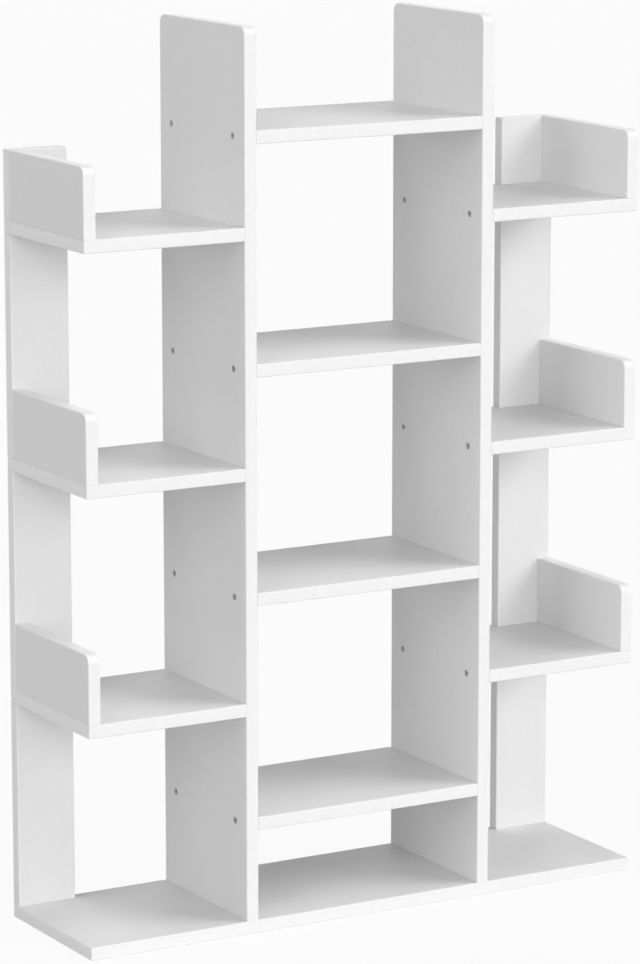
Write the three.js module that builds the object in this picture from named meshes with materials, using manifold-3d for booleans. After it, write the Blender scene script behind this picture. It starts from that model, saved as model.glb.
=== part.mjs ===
import * as THREE from 'three';
import { mergeVertices } from 'three/addons/utils/BufferGeometryUtils.js';
import Module from 'manifold-3d';

// A tree shaped bookshelf of white laminated board. Two uprights with shelves between them are its trunk.
// Shelves branch off to both sides at staggered heights. A low guard closes each branch's outer end, and
// slats behind the branches carry their outer ends down to the base panel.
// Millimetres, +Z up. The front faces -Y, and the origin lies under the middle of the base panel.

// Boards
const boardThickness = 18;
const boardDepth = 235;
const cornerRadius = 12;

// Trunk, with its clear heights from the base panel up
const trunkClearWidth = 350;
const centreShelfCount = 4;
const bottomBayHeight = 126;
const centreBayHeight = 292.5;
const topBayHeight = 136.5;

// Side branches: each shelf stands above the centre shelf of its level, the upper ones a little more
const sideShelfLength = 237;
const firstSideRise = 160;
const furtherSideRise = 11.5;
const guardHeight = 95;
const slatWidth = 86;

// Screws with a countersunk head and a hexagon socket
const screwLength = 50;
const shankRadius = 3.15;
const tipLength = 4;
const tipRadius = 1.5;
const headOverhang = 1.35;
const headRim = 0.6;
const socketWidth = 4;
const socketDepth = 1.8;
const headSink = 0.5;
const screwSetback = 32;
const screwGap = 0.3;

// Dowels, glued into the boards that stand on a shelf
const dowelRadius = 4;
const dowelLength = 30;
const dowelReach = 8;
const dowelGap = 0.3;
const guardDowelInset = 40;
const slatLowerDowelInset = 20;
const slatUpperDowelInset = 32;

// How far a cutting body runs out past the face that it cuts
const cutOverrun = 5;

// Counts of flat sides on round pieces
const screwSides = 10;
const socketSides = 6;
const dowelSides = 8;
const cornerSteps = 5;

// Finishes
const laminateColour = 0xf1f1f0;
const laminateRoughness = 0.5;
const steelColour = 0x8d8f92;
const steelRoughness = 0.4;

// Planes that the boards share, worked out from the sizes above
const trunkInner = trunkClearWidth / 2;
const trunkOuter = trunkInner + boardThickness;
const trunkMiddle = (trunkInner + trunkOuter) / 2;
const sideEnd = trunkOuter + sideShelfLength;
const slatEdge = sideEnd - slatWidth;
const guardInner = sideEnd - boardThickness;
const rear = boardDepth / 2;
const front = -rear;
const slatFront = rear - boardThickness;
const slatMiddle = (slatFront + rear) / 2;
const screwRows = { front: front + screwSetback, rear: rear - screwSetback };
const headRadius = shankRadius + headOverhang;
const baseTop = boardThickness;

// Heights of the shelves' top faces
const centrePitch = centreBayHeight + boardThickness;
const firstCentreTop = baseTop + bottomBayHeight + boardThickness;
const firstSideTop = firstCentreTop + firstSideRise;
const sidePitch = centrePitch + furtherSideRise;
const centreTops = evenly(centreShelfCount, firstCentreTop, centrePitch);
const sideTops = evenly(centreShelfCount - 1, firstSideTop, sidePitch);
const trunkTop = centreTops.at(-1) + topBayHeight;

const sides = { left: -1, right: 1 };

const wasm = await Module();
wasm.setup();

function evenly(count, first, step) {
  return Array.from({ length: count }, (unused, index) => first + index * step);
}

// Solids to cut and join

function solidOf(geometry) {
  geometry.deleteAttribute('normal');
  geometry.deleteAttribute('uv');
  const welded = mergeVertices(geometry);
  const vertProperties = new Float32Array(welded.attributes.position.array);
  const triVerts = new Uint32Array(welded.index.array);
  return new wasm.Manifold(new wasm.Mesh({ numProp: 3, vertProperties, triVerts }));
}

function geometryOf(solid) {
  const mesh = solid.getMesh();
  const geometry = new THREE.BufferGeometry();
  geometry.setAttribute('position', new THREE.BufferAttribute(mesh.vertProperties, 3));
  geometry.setIndex(new THREE.BufferAttribute(mesh.triVerts, 1));
  geometry.computeVertexNormals();
  return geometry;
}

function block(low, high) {
  const size = new THREE.Vector3().subVectors(high, low);
  const middle = new THREE.Vector3().addVectors(low, high).multiplyScalar(0.5);
  return new THREE.BoxGeometry(size.x, size.y, size.z).translate(middle.x, middle.y, middle.z);
}

// A board on edge: its outline lies in the YZ plane, and its thickness runs from low to higher X
function edgewiseBoard(outline, lowX) {
  const upright = new THREE.Matrix4().makeBasis(
    new THREE.Vector3(0, 1, 0),
    new THREE.Vector3(0, 0, 1),
    new THREE.Vector3(1, 0, 0),
  );
  const options = { depth: boardThickness, bevelEnabled: false, curveSegments: cornerSteps };
  return new THREE.ExtrudeGeometry(outline, options).applyMatrix4(upright).translate(lowX, 0, 0);
}

// Screws and their holes

function screwProfile() {
  const coneEnd = headRim + headOverhang;
  return [
    new THREE.Vector2(0, 0),
    new THREE.Vector2(headRadius, 0),
    new THREE.Vector2(headRadius, -headRim),
    new THREE.Vector2(shankRadius, -coneEnd),
    new THREE.Vector2(shankRadius, tipLength - screwLength),
    new THREE.Vector2(tipRadius, -screwLength),
    new THREE.Vector2(0, -screwLength),
  ].reverse();
}

function screwHoleProfile() {
  const sinkRadius = headRadius + screwGap;
  const holeRadius = shankRadius + screwGap;
  const sinkEnd = headRim + screwGap;
  const holeEnd = screwLength + screwGap;
  return [
    new THREE.Vector2(0, cutOverrun),
    new THREE.Vector2(sinkRadius, cutOverrun),
    new THREE.Vector2(sinkRadius, -sinkEnd),
    new THREE.Vector2(holeRadius, -sinkEnd - headOverhang),
    new THREE.Vector2(holeRadius, -holeEnd),
    new THREE.Vector2(0, -holeEnd),
  ].reverse();
}

// Turns a body that points down the Y axis so that it points the given way
function turnTowards(direction) {
  return new THREE.Quaternion().setFromUnitVectors(new THREE.Vector3(0, -1, 0), direction);
}

function screwBody() {
  const body = solidOf(new THREE.LatheGeometry(screwProfile(), screwSides));
  const socketCorner = socketWidth / Math.sqrt(3);
  const socketHeight = socketDepth + cutOverrun;
  const socket = new THREE.CylinderGeometry(socketCorner, socketCorner, socketHeight, socketSides);
  socket.translate(0, socketHeight / 2 - socketDepth, 0);
  return body.subtract(solidOf(socket));
}

function screwHole(screw) {
  const hole = new THREE.LatheGeometry(screwHoleProfile(), screwSides);
  hole.applyQuaternion(turnTowards(screw.drive)).translate(screw.head.x, screw.head.y, screw.head.z);
  return solidOf(hole);
}

// Dowels and their holes, from inside the board that holds the dowel out past its edge

function dowelCylinder(dowel, radius, reach) {
  const hold = dowelLength - dowelReach;
  const length = hold + reach;
  const middle = dowel.mouth.z + dowel.up * (reach - hold) / 2;
  const cylinder = new THREE.CylinderGeometry(radius, radius, length, dowelSides).rotateX(Math.PI / 2);
  return solidOf(cylinder.translate(dowel.mouth.x, dowel.mouth.y, middle));
}

function dowelPeg(dowel) {
  return dowelCylinder(dowel, dowelRadius, dowelReach);
}

function dowelHole(dowel) {
  return dowelCylinder(dowel, dowelRadius + dowelGap, dowelReach + dowelGap);
}

// Places of the screws: each names the board that it passes through and the board that it holds

function centreShelfScrews() {
  const screws = [];
  for (const [side, sign] of Object.entries(sides)) {
    centreTops.forEach((top, index) => {
      for (const [row, y] of Object.entries(screwRows)) {
        const shelf = `centre_shelf_${index + 1}`;
        const head = new THREE.Vector3(sign * (trunkOuter - headSink), y, top - boardThickness / 2);
        const drive = new THREE.Vector3(-sign, 0, 0);
        screws.push({ name: `${shelf}_screw_${side}_${row}`, joins: [`${side}_upright`, shelf], head, drive });
      }
    });
  }
  return screws;
}

function sideShelfScrews() {
  const screws = [];
  for (const [side, sign] of Object.entries(sides)) {
    sideTops.forEach((top, index) => {
      for (const [row, y] of Object.entries(screwRows)) {
        const shelf = `${side}_shelf_${index + 1}`;
        const head = new THREE.Vector3(sign * (trunkInner + headSink), y, top - boardThickness / 2);
        const drive = new THREE.Vector3(sign, 0, 0);
        screws.push({ name: `${shelf}_screw_${row}`, joins: [`${side}_upright`, shelf], head, drive });
      }
    });
  }
  return screws;
}

function baseScrews() {
  const screws = [];
  for (const [side, sign] of Object.entries(sides)) {
    for (const [row, y] of Object.entries(screwRows)) {
      const head = new THREE.Vector3(sign * trunkMiddle, y, headSink);
      const drive = new THREE.Vector3(0, 0, 1);
      screws.push({ name: `base_screw_${side}_${row}`, joins: ['base_panel', `${side}_upright`], head, drive });
    }
  }
  return screws;
}

// Places of the dowels: each stands out of its own board's edge and into the board above or below

function guardDowels() {
  const dowels = [];
  for (const [side, sign] of Object.entries(sides)) {
    sideTops.forEach((top, index) => {
      for (const y of [front + guardDowelInset, slatFront - guardDowelInset]) {
        const mouth = new THREE.Vector3(sign * (guardInner + sideEnd) / 2, y, top);
        dowels.push({ board: `${side}_guard_${index + 1}`, into: `${side}_shelf_${index + 1}`, mouth, up: -1 });
      }
    });
  }
  return dowels;
}

function slatDowels() {
  const dowels = [];
  for (const [side, sign] of Object.entries(sides)) {
    for (const slat of slatSpans(side)) {
      for (const x of [slatEdge + slatLowerDowelInset, sideEnd - slatLowerDowelInset]) {
        const mouth = new THREE.Vector3(sign * x, slatMiddle, slat.low);
        dowels.push({ board: slat.name, into: slat.below, mouth, up: -1 });
      }
      if (!slat.above) continue;
      for (const x of [slatEdge + slatUpperDowelInset, sideEnd - slatUpperDowelInset]) {
        const mouth = new THREE.Vector3(sign * x, slatMiddle, slat.high);
        dowels.push({ board: slat.name, into: slat.above, mouth, up: 1 });
      }
    }
  }
  return dowels;
}

// The slats of one side: one in each bay from the base panel up, and a short one behind the top guard
function slatSpans(side) {
  return [baseTop, ...sideTops].map((low, index) => {
    const last = index === sideTops.length;
    return {
      name: `${side}_slat_${index + 1}`,
      below: index === 0 ? 'base_panel' : `${side}_shelf_${index}`,
      above: last ? null : `${side}_shelf_${index + 1}`,
      low,
      high: last ? low + guardHeight : sideTops[index] - boardThickness,
    };
  });
}

const screws = [...centreShelfScrews(), ...sideShelfScrews(), ...baseScrews()];
const dowels = [...guardDowels(), ...slatDowels()];

// Meshes

function laminate() {
  return new THREE.MeshStandardMaterial({ color: laminateColour, roughness: laminateRoughness, metalness: 0 });
}

function steel() {
  return new THREE.MeshStandardMaterial({ color: steelColour, roughness: steelRoughness, metalness: 1 });
}

// A finished board: drilled for its screws and its neighbours' dowels, with its own dowels glued in
function boardMesh(name, blank) {
  blank.computeBoundingBox();
  const middle = blank.boundingBox.getCenter(new THREE.Vector3());
  let solid = solidOf(blank);
  for (const screw of screws.filter((each) => each.joins.includes(name))) {
    solid = solid.subtract(screwHole(screw));
  }
  for (const dowel of dowels.filter((each) => each.into === name)) {
    solid = solid.subtract(dowelHole(dowel));
  }
  for (const dowel of dowels.filter((each) => each.board === name)) {
    solid = solid.add(dowelPeg(dowel));
  }
  const mesh = new THREE.Mesh(geometryOf(solid).translate(-middle.x, -middle.y, -middle.z), laminate());
  mesh.name = name;
  mesh.position.copy(middle);
  return mesh;
}

function screwMesh(screw) {
  const mesh = new THREE.Mesh(geometryOf(screwBody()), steel());
  mesh.name = screw.name;
  mesh.position.copy(screw.head);
  mesh.quaternion.copy(turnTowards(screw.drive));
  return mesh;
}

// Boards

function basePanel() {
  const low = new THREE.Vector3(-sideEnd, front, 0);
  const high = new THREE.Vector3(sideEnd, rear, baseTop);
  return boardMesh('base_panel', block(low, high));
}

function uprightOutline() {
  const outline = new THREE.Shape();
  outline.moveTo(front, baseTop);
  outline.lineTo(rear, baseTop);
  outline.absarc(rear - cornerRadius, trunkTop - cornerRadius, cornerRadius, 0, Math.PI / 2);
  outline.absarc(front + cornerRadius, trunkTop - cornerRadius, cornerRadius, Math.PI / 2, Math.PI);
  outline.closePath();
  return outline;
}

function upright(side, sign) {
  const lowX = sign > 0 ? trunkInner : -trunkOuter;
  return boardMesh(`${side}_upright`, edgewiseBoard(uprightOutline(), lowX));
}

function centreShelf(top, index) {
  const low = new THREE.Vector3(-trunkInner, front, top - boardThickness);
  const high = new THREE.Vector3(trunkInner, rear, top);
  return boardMesh(`centre_shelf_${index + 1}`, block(low, high));
}

// A block on one side of the trunk, given by its near and far distance from the middle
function sideBlock(sign, near, far, frontY, lowZ, highZ) {
  const low = new THREE.Vector3(sign > 0 ? near : -far, frontY, lowZ);
  const high = new THREE.Vector3(sign > 0 ? far : -near, rear, highZ);
  return block(low, high);
}

function sideShelf(side, sign, top, index) {
  const blank = sideBlock(sign, trunkOuter, sideEnd, front, top - boardThickness, top);
  return boardMesh(`${side}_shelf_${index + 1}`, blank);
}

function guardOutline(low) {
  const outline = new THREE.Shape();
  const high = low + guardHeight;
  outline.moveTo(front, low);
  outline.lineTo(slatFront, low);
  outline.lineTo(slatFront, high);
  outline.absarc(front + cornerRadius, high - cornerRadius, cornerRadius, Math.PI / 2, Math.PI);
  outline.closePath();
  return outline;
}

function guard(side, sign, top, index) {
  const lowX = sign > 0 ? guardInner : -sideEnd;
  return boardMesh(`${side}_guard_${index + 1}`, edgewiseBoard(guardOutline(top), lowX));
}

function slat(sign, span) {
  return boardMesh(span.name, sideBlock(sign, slatEdge, sideEnd, slatFront, span.low, span.high));
}

// Assembly

function trunk() {
  const group = new THREE.Group();
  group.add(basePanel());
  for (const [side, sign] of Object.entries(sides)) {
    group.add(upright(side, sign));
  }
  centreTops.forEach((top, index) => group.add(centreShelf(top, index)));
  return group;
}

function branches(side, sign) {
  const group = new THREE.Group();
  sideTops.forEach((top, index) => {
    group.add(sideShelf(side, sign, top, index));
    group.add(guard(side, sign, top, index));
  });
  slatSpans(side).forEach((span) => group.add(slat(sign, span)));
  return group;
}

function fasteners() {
  const group = new THREE.Group();
  screws.forEach((screw) => group.add(screwMesh(screw)));
  return group;
}

const bookshelf = new THREE.Group();
bookshelf.add(trunk());
for (const [side, sign] of Object.entries(sides)) {
  bookshelf.add(branches(side, sign));
}
bookshelf.add(fasteners());

export default bookshelf;
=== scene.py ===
import math

import bpy
from mathutils import Matrix, Vector


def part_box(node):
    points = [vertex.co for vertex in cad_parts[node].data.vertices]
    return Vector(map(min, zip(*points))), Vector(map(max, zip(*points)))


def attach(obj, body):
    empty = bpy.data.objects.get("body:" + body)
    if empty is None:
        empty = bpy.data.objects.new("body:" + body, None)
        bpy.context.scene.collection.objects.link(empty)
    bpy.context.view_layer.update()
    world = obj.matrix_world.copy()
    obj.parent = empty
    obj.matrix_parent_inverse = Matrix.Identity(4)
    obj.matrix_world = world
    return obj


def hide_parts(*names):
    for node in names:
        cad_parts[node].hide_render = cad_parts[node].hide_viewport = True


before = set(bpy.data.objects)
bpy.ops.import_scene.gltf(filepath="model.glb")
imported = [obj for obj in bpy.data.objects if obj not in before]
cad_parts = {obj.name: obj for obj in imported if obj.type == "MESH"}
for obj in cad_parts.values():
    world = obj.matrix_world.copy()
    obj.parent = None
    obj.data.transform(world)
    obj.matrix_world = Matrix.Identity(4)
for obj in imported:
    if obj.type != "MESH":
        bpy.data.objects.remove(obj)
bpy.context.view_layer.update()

# A tree shaped bookshelf of white laminated board. Metres, +Z up, front towards -Y.

MM = 0.001
BODY = "root"
SIDES = ("left", "right")
CENTRE_LEVELS = (1, 2, 3, 4)
SIDE_LEVELS = (1, 2, 3)
SLAT_BAYS = (1, 2, 3, 4)

# Boards: how their edges are banded, and how the corners of their outlines are rounded
BAND_ROUNDING = 1.5 * MM
BAND_STEPS = 4
PLAN_ROUNDING = 2.0 * MM
PLAN_STEPS = 4
TOP_CORNER_RADIUS = 12.0 * MM
TOP_CORNER_STEPS = 12
SQUARE_CORNER = 0.0
SHARP_ANGLE = math.radians(38)

# Where one board butts against another: a hairline between them, and eased edges round the cut end
SEAM = 0.05 * MM
BUTT_CHAMFER = 0.4 * MM
BUTT_STEPS = 1
BUTT_ROUNDING_SHARE = 1 / 3

# Screws with a countersunk head, a hexagon socket and a coarse thread
SCREW_SIDES = 24
SCREW_LENGTH = 50.0 * MM
HEAD_RADIUS = 4.5 * MM
HEAD_RIM = 0.6 * MM
HEAD_CHAMFER = 0.15 * MM
SHANK_RADIUS = 2.5 * MM
SOCKET_WIDTH = 4.0 * MM
SOCKET_DEPTH = 1.8 * MM
SOCKET_CHAMFER = 0.2 * MM
THREAD_START = 12.0 * MM
THREAD_END = 46.0 * MM
THREAD_PITCH = 3.0 * MM
THREAD_ROWS_PER_TURN = 6
THREAD_CORE = 2.1 * MM
THREAD_OUTER = 3.1 * MM
THREAD_RIDGE_SHARE = 0.25
TIP_RADIUS = 1.2 * MM

# Drilled holes
SCREW_GAP = 0.3 * MM
HOLE_RADIUS = 3.45 * MM
HOLE_SIDES = 32
HOLE_OVERRUN = 1.0 * MM

# Dowels, glued into the boards that stand on a shelf
DOWEL_RADIUS = 4.0 * MM
DOWEL_REACH = 8.0 * MM
DOWEL_GAP = 0.3 * MM
DOWEL_CHAMFER = 0.8 * MM
DOWEL_FLUTE = 0.25 * MM
DOWEL_SIDES = 24
GUARD_DOWEL_INSET = 40.0 * MM
SLAT_LOWER_DOWEL_INSET = 20.0 * MM
SLAT_UPPER_DOWEL_INSET = 32.0 * MM

# Camera, as fitted to the photo's edges. The focal length is in pixels of the photo's frame.
IMAGE_HEIGHT = 964
SENSOR_WIDTH = 36.0
FOCAL_PIXELS = 4226.9
CAMERA_PLACE = (-2.8680, -4.9353, 1.7124)
CAMERA_TILT = math.radians(78.849)
CAMERA_TURN = math.radians(-30.067)
CAMERA_REACH = 300.0

# Room: how pale the floor is, how much of its white is seen rather than lit, and the light from all round
FLOOR_HALF_WIDTH = 40.0
FLOOR_GREY = 0.7
FLOOR_WHITE_SHARE = 0.93
AMBIENT_STRENGTH = 0.02

# Soft distant lamps: name, azimuth (0 from the front, 90 from the right), elevation, strength, spread.
# The angles are in degrees.
LAMPS = (
    ("front", 0.0, 6.0, 1.7, 45.0),
    ("key", 55.0, 37.0, 1.56, 40.0),
    ("left_front_fill", -45.0, 15.0, 0.73, 50.0),
    ("left_fill", -70.0, 35.0, 0.5, 45.0),
    ("high_left_fill", -90.0, 65.0, 0.43, 30.0),
    ("rear_right", 150.0, 10.0, 0.6, 40.0),
    ("rear_left", -150.0, 10.0, 0.49, 40.0),
)

# Between these two values lies most of a noise texture
NOISE_LOW = 0.3
NOISE_HIGH = 0.7


# Materials


def new_material(name):
    material = bpy.data.materials.new(name)
    material.use_nodes = True
    nodes, links = material.node_tree.nodes, material.node_tree.links
    return material, nodes, links, nodes["Principled BSDF"]


def grey(level):
    return (level, level, level)


def object_coordinates(nodes):
    return nodes.new("ShaderNodeTexCoord").outputs["Object"]


def noise(nodes, links, coordinates, scale, detail):
    texture = nodes.new("ShaderNodeTexNoise")
    texture.inputs["Scale"].default_value = scale
    texture.inputs["Detail"].default_value = detail
    links.new(coordinates, texture.inputs["Vector"])
    return texture.outputs["Fac"]


def ramp(nodes, links, factor, low, high, start=NOISE_LOW, end=NOISE_HIGH):
    """A colour that goes from low to high while the factor goes from start to end."""
    node = nodes.new("ShaderNodeValToRGB")
    node.color_ramp.elements[0].position = start
    node.color_ramp.elements[0].color = (*low, 1.0)
    node.color_ramp.elements[1].position = end
    node.color_ramp.elements[1].color = (*high, 1.0)
    links.new(factor, node.inputs["Fac"])
    return node.outputs["Color"]


def roughness(nodes, links, shader, factor, low, high):
    node = nodes.new("ShaderNodeMapRange")
    node.inputs["From Min"].default_value = NOISE_LOW
    node.inputs["From Max"].default_value = NOISE_HIGH
    node.inputs["To Min"].default_value = low
    node.inputs["To Max"].default_value = high
    links.new(factor, node.inputs["Value"])
    links.new(node.outputs["Result"], shader.inputs["Roughness"])


def bump(nodes, links, shader, height, strength, distance):
    node = nodes.new("ShaderNodeBump")
    node.inputs["Strength"].default_value = strength
    node.inputs["Distance"].default_value = distance
    links.new(height, node.inputs["Height"])
    links.new(node.outputs["Normal"], shader.inputs["Normal"])


def laminate_material():
    material, nodes, links, shader = new_material("white_laminate")
    place = object_coordinates(nodes)
    mottle = noise(nodes, links, place, scale=260.0, detail=3.0)
    colour = ramp(nodes, links, mottle, low=grey(0.80), high=grey(0.825))
    links.new(colour, shader.inputs["Base Color"])
    shader.inputs["Specular IOR Level"].default_value = 0.08
    pebble = noise(nodes, links, place, scale=900.0, detail=1.0)
    roughness(nodes, links, shader, pebble, low=0.54, high=0.66)
    bump(nodes, links, shader, pebble, strength=0.15, distance=0.1 * MM)
    return material


def edge_band_material():
    material, nodes, links, shader = new_material("white_edge_band")
    place = object_coordinates(nodes)
    mottle = noise(nodes, links, place, scale=120.0, detail=2.0)
    colour = ramp(nodes, links, mottle, low=grey(0.85), high=grey(0.87))
    links.new(colour, shader.inputs["Base Color"])
    shader.inputs["Specular IOR Level"].default_value = 0.12
    pebble = noise(nodes, links, place, scale=600.0, detail=1.0)
    roughness(nodes, links, shader, pebble, low=0.45, high=0.55)
    bump(nodes, links, shader, pebble, strength=0.08, distance=0.1 * MM)
    return material


def chipboard_material():
    material, nodes, links, shader = new_material("bare_chipboard")
    place = object_coordinates(nodes)
    chips = nodes.new("ShaderNodeTexVoronoi")
    chips.inputs["Scale"].default_value = 700.0
    links.new(place, chips.inputs["Vector"])
    grains = chips.outputs["Distance"]
    colour = ramp(nodes, links, grains, low=(0.42, 0.29, 0.17), high=(0.66, 0.51, 0.34), start=0.1, end=0.8)
    links.new(colour, shader.inputs["Base Color"])
    roughness(nodes, links, shader, grains, low=0.84, high=0.95)
    bump(nodes, links, shader, grains, strength=0.4, distance=0.3 * MM)
    return material


def dowel_material():
    material, nodes, links, shader = new_material("beech_dowel")
    place = object_coordinates(nodes)
    grain = nodes.new("ShaderNodeMapping")
    grain.inputs["Scale"].default_value = (1.0, 1.0, 0.08)
    links.new(place, grain.inputs["Vector"])
    streaks = noise(nodes, links, grain.outputs["Vector"], scale=900.0, detail=3.0)
    colour = ramp(nodes, links, streaks, low=(0.56, 0.38, 0.23), high=(0.74, 0.55, 0.37))
    links.new(colour, shader.inputs["Base Color"])
    roughness(nodes, links, shader, streaks, low=0.62, high=0.78)
    bump(nodes, links, shader, streaks, strength=0.3, distance=0.1 * MM)
    return material


def steel_material():
    material, nodes, links, shader = new_material("zinc_steel")
    place = object_coordinates(nodes)
    patina = noise(nodes, links, place, scale=1500.0, detail=3.0)
    colour = ramp(nodes, links, patina, low=(0.30, 0.30, 0.31), high=(0.42, 0.42, 0.43))
    links.new(colour, shader.inputs["Base Color"])
    shader.inputs["Metallic"].default_value = 1.0
    roughness(nodes, links, shader, patina, low=0.38, high=0.52)
    bump(nodes, links, shader, patina, strength=0.2, distance=0.05 * MM)
    return material


BOARD_MATERIALS = [laminate_material(), edge_band_material(), chipboard_material(), dowel_material()]
LAMINATE, EDGE_BAND, CHIPBOARD, DOWEL = range(len(BOARD_MATERIALS))
STEEL_MATERIAL = steel_material()


# Round bodies, made of rings about an axis


def rings_mesh(name, rings, sides):
    """A closed mesh from rings of points. The first and last ring are single points."""
    vertices = [rings[0][0]]
    for ring in rings[1:-1]:
        vertices.extend(ring)
    vertices.append(rings[-1][0])
    faces = [(0, 1 + side, 1 + (side + 1) % sides) for side in range(sides)]
    for row in range(len(rings) - 3):
        start = 1 + row * sides
        for side in range(sides):
            following = (side + 1) % sides
            faces.append((start + following, start + side, start + sides + side, start + sides + following))
    last = len(vertices) - 1
    start = last - sides
    faces.extend((last, start + (side + 1) % sides, start + side) for side in range(sides))
    mesh = bpy.data.meshes.new(name)
    mesh.from_pydata(vertices, [], faces)
    return mesh


def ring_point(radius, angle, depth):
    """A point about the drive axis, which runs down from the head at depth 0."""
    return (radius * math.cos(angle), radius * math.sin(angle), -depth)


def circle(radius, depth, sides):
    return [ring_point(radius, 2 * math.pi * side / sides, depth) for side in range(sides)]


def hexagon(width, depth, sides):
    """A ring of as many points as the circles, laid on a hexagon's six sides."""
    ring = []
    for side in range(sides):
        angle = 2 * math.pi * side / sides
        from_flat = (angle % (math.pi / 3)) - math.pi / 6
        radius = width / 2 / math.cos(from_flat)
        ring.append(ring_point(radius, angle, depth))
    return ring


def thread_ring(depth, sides):
    """A ring of the thread: its ridge winds round the core once in each pitch."""
    ring = []
    for side in range(sides):
        angle = 2 * math.pi * side / sides
        phase = (depth / THREAD_PITCH + side / sides) % 1.0
        ridge = max(0.0, 1.0 - abs(phase - 0.5) / THREAD_RIDGE_SHARE)
        fade = min(1.0, (depth - THREAD_START) / THREAD_PITCH, (THREAD_END - depth) / THREAD_PITCH)
        radius = THREAD_CORE + (THREAD_OUTER - THREAD_CORE) * ridge * max(0.0, fade)
        ring.append(ring_point(radius, angle, depth))
    return ring


def screw_mesh():
    sides = SCREW_SIDES
    cone_end = HEAD_RIM + HEAD_RADIUS - SHANK_RADIUS
    rings = [
        circle(0.0, SOCKET_DEPTH, 1),
        hexagon(SOCKET_WIDTH, SOCKET_DEPTH, sides),
        hexagon(SOCKET_WIDTH, SOCKET_CHAMFER, sides),
        hexagon(SOCKET_WIDTH + 2 * SOCKET_CHAMFER, 0.0, sides),
        circle(HEAD_RADIUS - HEAD_CHAMFER, 0.0, sides),
        circle(HEAD_RADIUS, HEAD_CHAMFER, sides),
        circle(HEAD_RADIUS, HEAD_RIM, sides),
        circle(SHANK_RADIUS, cone_end, sides),
        circle(SHANK_RADIUS, THREAD_START - THREAD_PITCH / 2, sides),
    ]
    rows = round((THREAD_END - THREAD_START) / THREAD_PITCH * THREAD_ROWS_PER_TURN)
    for row in range(rows + 1):
        rings.append(thread_ring(THREAD_START + (THREAD_END - THREAD_START) * row / rows, sides))
    rings.append(circle(TIP_RADIUS, SCREW_LENGTH - TIP_RADIUS / 2, sides))
    rings.append(circle(0.0, SCREW_LENGTH, 1))
    mesh = rings_mesh("screw", rings, sides)
    mesh.materials.append(STEEL_MATERIAL)
    finish_shading(mesh)
    return mesh


def finish_shading(mesh):
    mesh.shade_smooth()
    mesh.set_sharp_from_angle(angle=SHARP_ANGLE)


# Screws: where each head lies and which way it drives, read from its CAD node


def screw_pose(node):
    low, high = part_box(node)
    head = (low + high) / 2
    if node.startswith("base"):
        drive = Vector((0, 0, 1))
        head.z = low.z
    else:
        outward = Vector((math.copysign(1, head.x), 0, 0))
        drive = -outward if node.startswith("centre") else outward
        head.x = low.x if drive.x > 0 else high.x
    turn = (-drive).to_track_quat("Z", "Y")
    return Matrix.Translation(head) @ turn.to_matrix().to_4x4()


def all_screws():
    return [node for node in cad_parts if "screw" in node]


def screws_of(board):
    """The screws that pass through or into a board."""
    if board == "base_panel":
        return [node for node in all_screws() if node.startswith("base")]
    if board.endswith("_upright"):
        side = board.split("_")[0]
        return [node for node in all_screws() if side in node.split("_")]
    return [node for node in all_screws() if node.startswith(board + "_screw")]


def screw_hole(node):
    sides = HOLE_SIDES
    sink_radius = HEAD_RADIUS + SCREW_GAP
    sink_end = HEAD_RIM + SCREW_GAP
    rings = [
        circle(0.0, -HOLE_OVERRUN, 1),
        circle(sink_radius, -HOLE_OVERRUN, sides),
        circle(sink_radius, sink_end, sides),
        circle(HOLE_RADIUS, sink_end + sink_radius - HOLE_RADIUS, sides),
        circle(HOLE_RADIUS, SCREW_LENGTH + SCREW_GAP, sides),
        circle(0.0, SCREW_LENGTH + SCREW_GAP, 1),
    ]
    mesh = rings_mesh("screw_hole", rings, sides)
    mesh.transform(screw_pose(node))
    return mesh


# Dowels: each is (mouth, up), a point on the edge of the board that holds it and the way that it points


def spread(low, high, inset):
    return (low + inset, high - inset)


def guard_dowels(side, level):
    low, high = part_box(f"{side}_guard_{level}")
    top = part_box(f"{side}_shelf_{level}")[1].z
    middle = (low.x + high.x) / 2
    return [(Vector((middle, y, top)), -1) for y in spread(low.y, high.y, GUARD_DOWEL_INSET)]


def is_top_bay(bay):
    return bay == SLAT_BAYS[-1]


def slat_span(side, bay):
    """The heights at which a slat's own board starts and ends, without its dowels."""
    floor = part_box("base_panel" if bay == 1 else f"{side}_shelf_{bay - 1}")[1].z
    if is_top_bay(bay):
        return floor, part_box(f"{side}_guard_{SIDE_LEVELS[-1]}")[1].z
    return floor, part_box(f"{side}_shelf_{bay}")[0].z


def slat_dowels(side, bay, up):
    low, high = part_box(f"{side}_slat_{bay}")
    floor, ceiling = slat_span(side, bay)
    middle = (low.y + high.y) / 2
    inset = SLAT_UPPER_DOWEL_INSET if up > 0 else SLAT_LOWER_DOWEL_INSET
    height = ceiling if up > 0 else floor
    return [(Vector((x, middle, height)), up) for x in spread(low.x, high.x, inset)]


def dowels_into(board):
    """The dowels of other boards that stand in a board's holes."""
    if board == "base_panel":
        return [dowel for side in SIDES for dowel in slat_dowels(side, 1, -1)]
    side, kind, *rest = board.split("_")
    if kind != "shelf" or side not in SIDES:
        return []
    level = int(rest[0])
    return guard_dowels(side, level) + slat_dowels(side, level, 1) + slat_dowels(side, level + 1, -1)


def dowels_of(board):
    """The dowels that a board holds."""
    side, kind, *rest = board.split("_")
    if kind == "guard":
        return guard_dowels(side, int(rest[0]))
    if kind == "slat":
        bay = int(rest[0])
        upper = [] if is_top_bay(bay) else slat_dowels(side, bay, 1)
        return slat_dowels(side, bay, -1) + upper
    return []


def dowel_pose(dowel):
    mouth, up = dowel
    turn = Vector((0, 0, -up)).to_track_quat("Z", "Y")
    return Matrix.Translation(mouth) @ turn.to_matrix().to_4x4()


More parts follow.
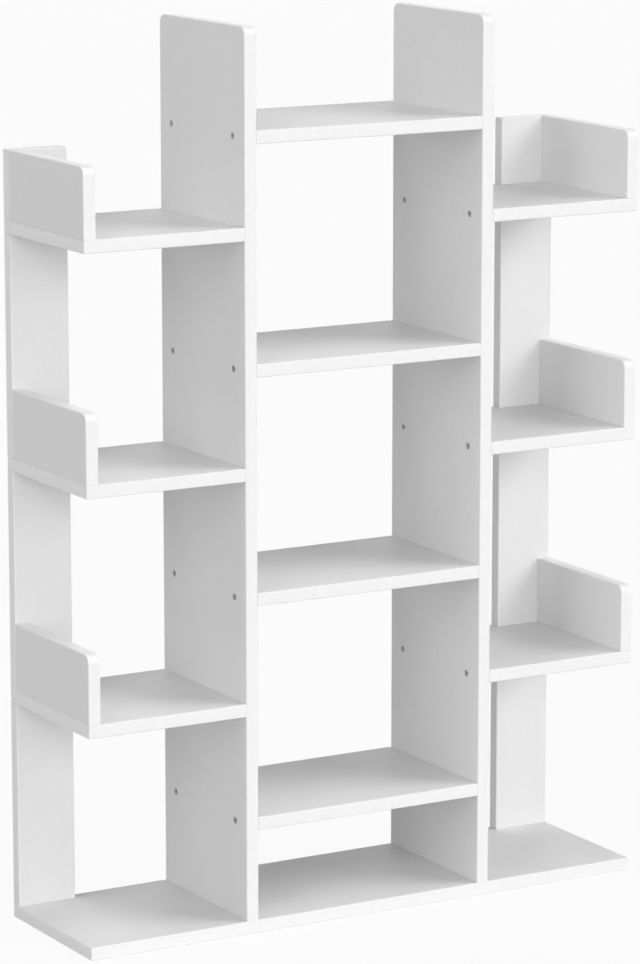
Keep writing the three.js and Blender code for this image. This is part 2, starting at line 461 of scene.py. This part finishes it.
def dowel_hole(dowel):
    radius = DOWEL_RADIUS + DOWEL_GAP
    rings = [
        circle(0.0, -HOLE_OVERRUN, 1),
        circle(radius, -HOLE_OVERRUN, HOLE_SIDES),
        circle(radius, DOWEL_REACH + DOWEL_GAP, HOLE_SIDES),
        circle(0.0, DOWEL_REACH + DOWEL_GAP, 1),
    ]
    mesh = rings_mesh("dowel_hole", rings, HOLE_SIDES)
    mesh.transform(dowel_pose(dowel))
    return mesh


def fluted(radius, depth):
    """A ring whose every other point lies in a flute."""
    ring = []
    for side in range(DOWEL_SIDES):
        angle = 2 * math.pi * side / DOWEL_SIDES
        here = radius - (DOWEL_FLUTE if side % 2 else 0.0)
        ring.append(ring_point(here, angle, depth))
    return ring


def dowel_peg(dowel):
    rings = [
        circle(0.0, -SEAM, 1),
        fluted(DOWEL_RADIUS, -SEAM),
        fluted(DOWEL_RADIUS, DOWEL_REACH - DOWEL_CHAMFER),
        fluted(DOWEL_RADIUS - DOWEL_CHAMFER, DOWEL_REACH),
        circle(0.0, DOWEL_REACH, 1),
    ]
    mesh = rings_mesh("dowel", rings, DOWEL_SIDES)
    mesh.transform(dowel_pose(dowel))
    return mesh


# Boards: an outline in the board's plane, a thickness, and rounded bands along some of its edges


def corner_steps(radius):
    if radius <= BUTT_CHAMFER:
        return BUTT_STEPS
    return PLAN_STEPS if radius <= PLAN_ROUNDING else TOP_CORNER_STEPS


def rounded_outline(corners):
    """The closed outline of a board, counterclockwise.

    Each corner is (u, v, radius, banded), and banded says whether the edge that leaves it has a band.
    Returns (point, banded) for each point of the outline.
    """
    outline = []
    for index, (u, v, radius, banded) in enumerate(corners):
        corner = Vector((u, v))
        if radius == SQUARE_CORNER:
            outline.append((corner, banded))
            continue
        arriving = (corner - Vector(corners[index - 1][:2])).normalized()
        leaving = (Vector(corners[(index + 1) % len(corners)][:2]) - corner).normalized()
        centre = corner + (leaving - arriving) * radius
        steps = corner_steps(radius)
        for step in range(steps + 1):
            turn = math.pi / 2 * step / steps
            point = centre - leaving * radius * math.cos(turn) + arriving * radius * math.sin(turn)
            outline.append((point, banded if step == steps else True))
    return outline


def inward(start, end):
    along = (end - start).normalized()
    return Vector((-along.y, along.x))


def inset_ring(outline, inset):
    """The outline moved inwards along its banded edges, and only a little along its cut ones."""
    ring = []
    for index, (point, banded) in enumerate(outline):
        before, before_banded = outline[index - 1]
        after = outline[(index + 1) % len(outline)][0]
        first = inward(before, point)
        second = inward(point, after)
        first_inset = inset if before_banded else inset * BUTT_ROUNDING_SHARE
        second_inset = inset if banded else inset * BUTT_ROUNDING_SHARE
        cross = first.x * second.y - first.y * second.x
        shift = Vector((
            first_inset * second.y - second_inset * first.y,
            second_inset * first.x - first_inset * second.x,
        )) / cross
        ring.append(point + shift)
    return ring


def band_levels(thickness):
    """(inset, height) of the rings from the upper face to the lower one."""
    upper = []
    for step in range(BAND_STEPS + 1):
        turn = math.pi / 2 * step / BAND_STEPS
        inset = BAND_ROUNDING * (1 - math.sin(turn))
        upper.append((inset, thickness / 2 - BAND_ROUNDING * (1 - math.cos(turn))))
    return upper + [(inset, -height) for inset, height in reversed(upper)]


def board_mesh(name, corners, low_w, high_w, first_axis):
    """A board with its plane along first_axis and the axis after it, and its thickness along the third."""
    outline = rounded_outline(corners)
    count = len(outline)
    middle = (low_w + high_w) / 2
    vertices = []
    for inset, height in band_levels(high_w - low_w):
        for point in inset_ring(outline, inset):
            place = [0.0, 0.0, 0.0]
            place[first_axis] = point.x
            place[(first_axis + 1) % 3] = point.y
            place[(first_axis + 2) % 3] = middle + height
            vertices.append(place)
    rows = len(vertices) // count
    faces = [tuple(range(count))]
    slots = [LAMINATE]
    for row in range(rows - 1):
        for index in range(count):
            following = (index + 1) % count
            upper, lower = row * count, (row + 1) * count
            faces.append((upper + following, upper + index, lower + index, lower + following))
            slots.append(EDGE_BAND)
    faces.append(tuple(reversed(range((rows - 1) * count, rows * count))))
    slots.append(LAMINATE)
    mesh = bpy.data.meshes.new(name)
    mesh.from_pydata(vertices, [], faces)
    mesh.polygons.foreach_set("material_index", slots)
    for material in BOARD_MATERIALS:
        mesh.materials.append(material)
    return mesh


def new_object(name, mesh):
    piece = bpy.data.objects.new(name, mesh)
    bpy.context.scene.collection.objects.link(piece)
    return piece


def joined(name, meshes):
    """One mesh that holds several, with their materials' places kept."""
    vertices, faces, slots = [], [], []
    for mesh in meshes:
        start = len(vertices)
        vertices.extend(vertex.co[:] for vertex in mesh.vertices)
        faces.extend(tuple(start + index for index in face.vertices) for face in mesh.polygons)
        slots.extend(face.material_index for face in mesh.polygons)
    result = bpy.data.meshes.new(name)
    result.from_pydata(vertices, [], faces)
    result.polygons.foreach_set("material_index", slots)
    for material in BOARD_MATERIALS:
        result.materials.append(material)
    return result


def painted(mesh, slot):
    mesh.polygons.foreach_set("material_index", [slot] * len(mesh.polygons))
    return mesh


def drilled(mesh, holes):
    """The mesh with the holes cut out, and bare chipboard inside them."""
    if not holes:
        return mesh
    board = new_object("board_blank", mesh)
    cutter_mesh = joined("board_cutter", [painted(hole, CHIPBOARD) for hole in holes])
    cutter = new_object("board_cutter", cutter_mesh)
    cut = board.modifiers.new("holes", "BOOLEAN")
    cut.operation = "DIFFERENCE"
    cut.solver = "EXACT"
    cut.object = cutter
    evaluated = board.evaluated_get(bpy.context.evaluated_depsgraph_get())
    result = bpy.data.meshes.new_from_object(evaluated)
    bpy.data.objects.remove(board)
    bpy.data.objects.remove(cutter)
    return result


def add_board(node, mesh):
    """Turns a board's mesh into the piece that stands for its CAD node."""
    holes = [screw_hole(screw) for screw in screws_of(node)]
    holes += [dowel_hole(dowel) for dowel in dowels_into(node)]
    pegs = [painted(dowel_peg(dowel), DOWEL) for dowel in dowels_of(node)]
    mesh = joined(node + "_board", [drilled(mesh, holes), *pegs])
    finish_shading(mesh)
    piece = new_object(node + "_board", mesh)
    normals = piece.modifiers.new("even_normals", "WEIGHTED_NORMAL")
    normals.keep_sharp = True
    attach(piece, BODY)
    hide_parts(node)


def flat_board(node, low_x_banded, high_x_banded):
    """A board that lies flat. Each end is banded, with round corners, or cut to butt against a neighbour."""
    low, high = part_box(node)
    low_x = low.x if low_x_banded else low.x + SEAM
    high_x = high.x if high_x_banded else high.x - SEAM
    low_x_corner = PLAN_ROUNDING if low_x_banded else BUTT_CHAMFER
    high_x_corner = PLAN_ROUNDING if high_x_banded else BUTT_CHAMFER
    corners = [
        (low_x, low.y, low_x_corner, True),
        (high_x, low.y, high_x_corner, high_x_banded),
        (high_x, high.y, high_x_corner, True),
        (low_x, high.y, low_x_corner, low_x_banded),
    ]
    add_board(node, board_mesh(node, corners, low.z, high.z, 0))


def upright_board(node):
    low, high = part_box(node)
    bottom = low.z + SEAM
    corners = [
        (low.y, bottom, BUTT_CHAMFER, False),
        (high.y, bottom, BUTT_CHAMFER, True),
        (high.y, high.z, TOP_CORNER_RADIUS, True),
        (low.y, high.z, TOP_CORNER_RADIUS, True),
    ]
    add_board(node, board_mesh(node, corners, low.x, high.x, 1))


def guard_board(side, level):
    node = f"{side}_guard_{level}"
    low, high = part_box(node)
    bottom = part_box(f"{side}_shelf_{level}")[1].z + SEAM
    rear = high.y - SEAM
    corners = [
        (low.y, bottom, BUTT_CHAMFER, False),
        (rear, bottom, SQUARE_CORNER, False),
        (rear, high.z, BUTT_CHAMFER, True),
        (low.y, high.z, TOP_CORNER_RADIUS, True),
    ]
    add_board(node, board_mesh(node, corners, low.x, high.x, 1))


def slat_board(side, bay):
    node = f"{side}_slat_{bay}"
    low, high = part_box(node)
    floor, ceiling = slat_span(side, bay)
    is_top = is_top_bay(bay)
    bottom = floor + SEAM
    top = ceiling if is_top else ceiling - SEAM
    top_corner = PLAN_ROUNDING if is_top else BUTT_CHAMFER
    corners = [
        (bottom, low.x, BUTT_CHAMFER, True),
        (top, low.x, top_corner, is_top),
        (top, high.x, top_corner, True),
        (bottom, high.x, BUTT_CHAMFER, False),
    ]
    add_board(node, board_mesh(node, corners, low.y, high.y, 2))


def add_boards():
    flat_board("base_panel", low_x_banded=True, high_x_banded=True)
    for level in CENTRE_LEVELS:
        flat_board(f"centre_shelf_{level}", low_x_banded=False, high_x_banded=False)
    for side in SIDES:
        on_left = side == "left"
        upright_board(f"{side}_upright")
        for level in SIDE_LEVELS:
            flat_board(f"{side}_shelf_{level}", low_x_banded=on_left, high_x_banded=not on_left)
            guard_board(side, level)
        for bay in SLAT_BAYS:
            slat_board(side, bay)


def add_screws():
    mesh = screw_mesh()
    for node in sorted(all_screws()):
        piece = new_object(node.replace("screw", "steel_screw"), mesh)
        piece.matrix_world = screw_pose(node)
        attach(piece, BODY)
        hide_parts(node)


# Room: camera, floor, light


def add_camera():
    data = bpy.data.cameras.new("camera")
    data.sensor_width = SENSOR_WIDTH
    data.lens = FOCAL_PIXELS * SENSOR_WIDTH / IMAGE_HEIGHT
    data.clip_end = CAMERA_REACH
    camera = bpy.data.objects.new("camera", data)
    camera.location = CAMERA_PLACE
    camera.rotation_euler = (CAMERA_TILT, 0.0, CAMERA_TURN)
    bpy.context.scene.collection.objects.link(camera)
    bpy.context.scene.camera = camera


def seen_directly(nodes, links):
    """1 for rays from the camera and for those that gloss or glass sends on, and 0 for light."""
    path = nodes.new("ShaderNodeLightPath")
    glossy = nodes.new("ShaderNodeMath")
    glossy.operation = "MAXIMUM"
    links.new(path.outputs["Is Camera Ray"], glossy.inputs[0])
    links.new(path.outputs["Is Glossy Ray"], glossy.inputs[1])
    clear = nodes.new("ShaderNodeMath")
    clear.operation = "MAXIMUM"
    links.new(glossy.outputs[0], clear.inputs[0])
    links.new(path.outputs["Is Transmission Ray"], clear.inputs[1])
    return clear.outputs[0]


def add_world():
    """A white surround, which lights the object only a little."""
    world = bpy.data.worlds.new("studio")
    world.use_nodes = True
    bpy.context.scene.world = world
    nodes, links = world.node_tree.nodes, world.node_tree.links
    light = nodes["Background"]
    light.inputs["Color"].default_value = (1.0, 1.0, 1.0, 1.0)
    light.inputs["Strength"].default_value = AMBIENT_STRENGTH
    white = nodes.new("ShaderNodeBackground")
    white.inputs["Color"].default_value = (1.0, 1.0, 1.0, 1.0)
    white.inputs["Strength"].default_value = 1.0
    mix = nodes.new("ShaderNodeMixShader")
    links.new(seen_directly(nodes, links), mix.inputs["Fac"])
    links.new(light.outputs[0], mix.inputs[1])
    links.new(white.outputs[0], mix.inputs[2])
    links.new(mix.outputs[0], nodes["World Output"].inputs["Surface"])


def add_floor():
    """A pale floor: white to the eye, with the object's soft shadow still on it."""
    half = FLOOR_HALF_WIDTH
    mesh = bpy.data.meshes.new("floor")
    corners = [(-half, -half, 0), (half, -half, 0), (half, half, 0), (-half, half, 0)]
    mesh.from_pydata(corners, [], [(0, 1, 2, 3)])
    floor = new_object("floor", mesh)
    material = bpy.data.materials.new("pale_floor")
    material.use_nodes = True
    nodes, links = material.node_tree.nodes, material.node_tree.links
    nodes.remove(nodes["Principled BSDF"])
    matt = nodes.new("ShaderNodeBsdfDiffuse")
    matt.inputs["Color"].default_value = (*grey(FLOOR_GREY), 1.0)
    glow = nodes.new("ShaderNodeEmission")
    glow.inputs["Strength"].default_value = 1.0
    share = nodes.new("ShaderNodeMath")
    share.operation = "MULTIPLY"
    share.inputs[1].default_value = FLOOR_WHITE_SHARE
    links.new(seen_directly(nodes, links), share.inputs[0])
    mix = nodes.new("ShaderNodeMixShader")
    links.new(share.outputs[0], mix.inputs["Fac"])
    links.new(matt.outputs[0], mix.inputs[1])
    links.new(glow.outputs[0], mix.inputs[2])
    links.new(mix.outputs[0], nodes["Material Output"].inputs["Surface"])
    mesh.materials.append(material)


def add_lamp(name, azimuth, elevation, strength, spread):
    data = bpy.data.lights.new(name, "SUN")
    data.energy = strength
    data.angle = math.radians(spread)
    lamp = bpy.data.objects.new(name, data)
    turn, rise = math.radians(azimuth), math.radians(elevation)
    source = Vector((math.sin(turn) * math.cos(rise), -math.cos(turn) * math.cos(rise), math.sin(rise)))
    lamp.rotation_euler = source.to_track_quat("Z", "Y").to_euler()
    bpy.context.scene.collection.objects.link(lamp)


add_boards()
add_screws()
add_camera()
add_world()
add_floor()
for settings in LAMPS:
    add_lamp(*settings)
bpy.context.scene.view_settings.view_transform = "Standard"
